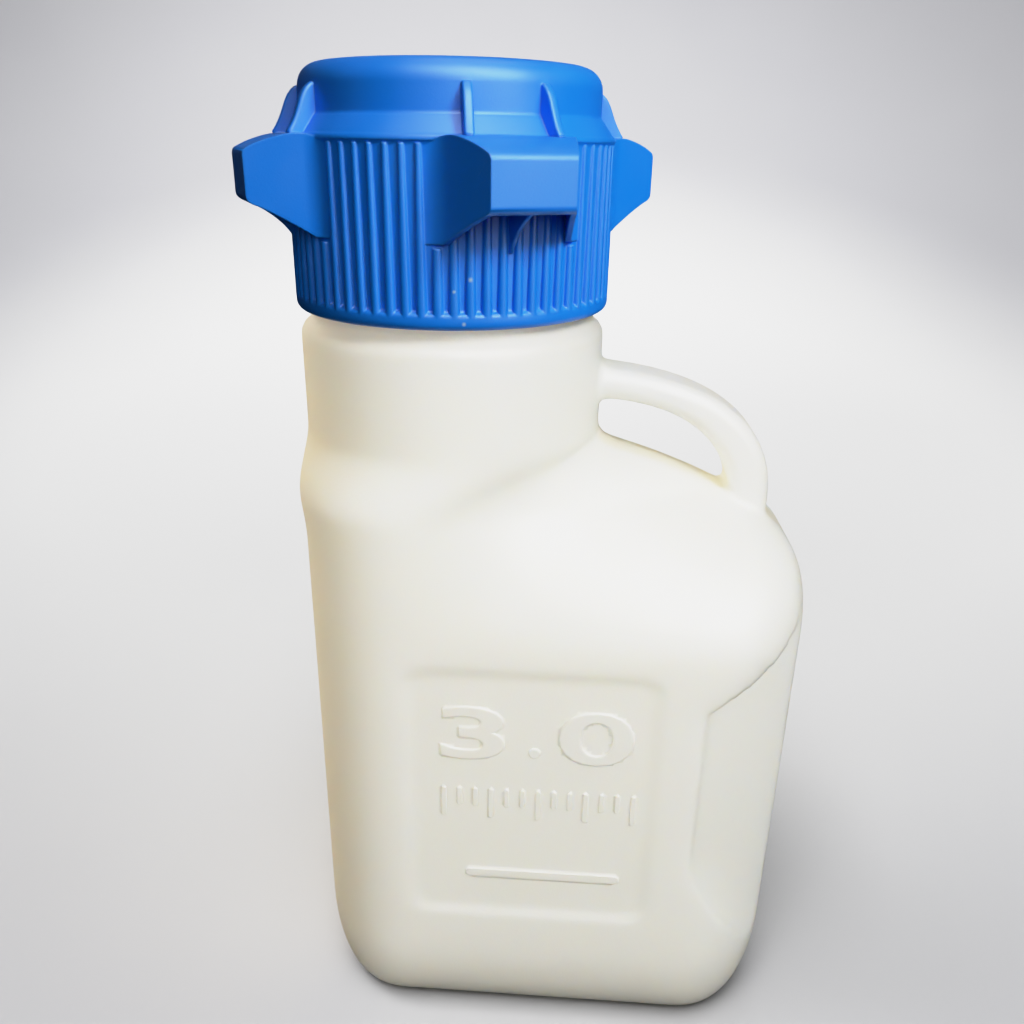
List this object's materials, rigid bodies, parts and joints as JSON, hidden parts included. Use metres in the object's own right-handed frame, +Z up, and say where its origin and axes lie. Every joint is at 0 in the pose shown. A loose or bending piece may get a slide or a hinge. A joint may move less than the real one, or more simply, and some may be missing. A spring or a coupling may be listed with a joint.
{
  "type": "plastic carboy",
  "caption": "Flat-sided blow-moulded plastic carboy with an off-centre wide neck, a strap handle on a sloping shoulder, and a ribbed screw cap with hollow grip wings.",
  "frame": {"origin": "centre of the flat base, on the surface that the carboy stands on", "axes": "+Z up, +X along the broad faces towards the handle end, -Y out of the broad face that the picture shows; the bottle's halves mirror each other across the XZ plane"},
  "size_m": [0.1733, 0.1186, 0.3111],
  "materials": {
    "milky_plastic": "satin, milky and slightly translucent",
    "blue_plastic": "satin"
  },
  "bodies": {
    "root": {"bottle": "milky_plastic", "cap": "blue_plastic"}
  },
  "joints": []
}
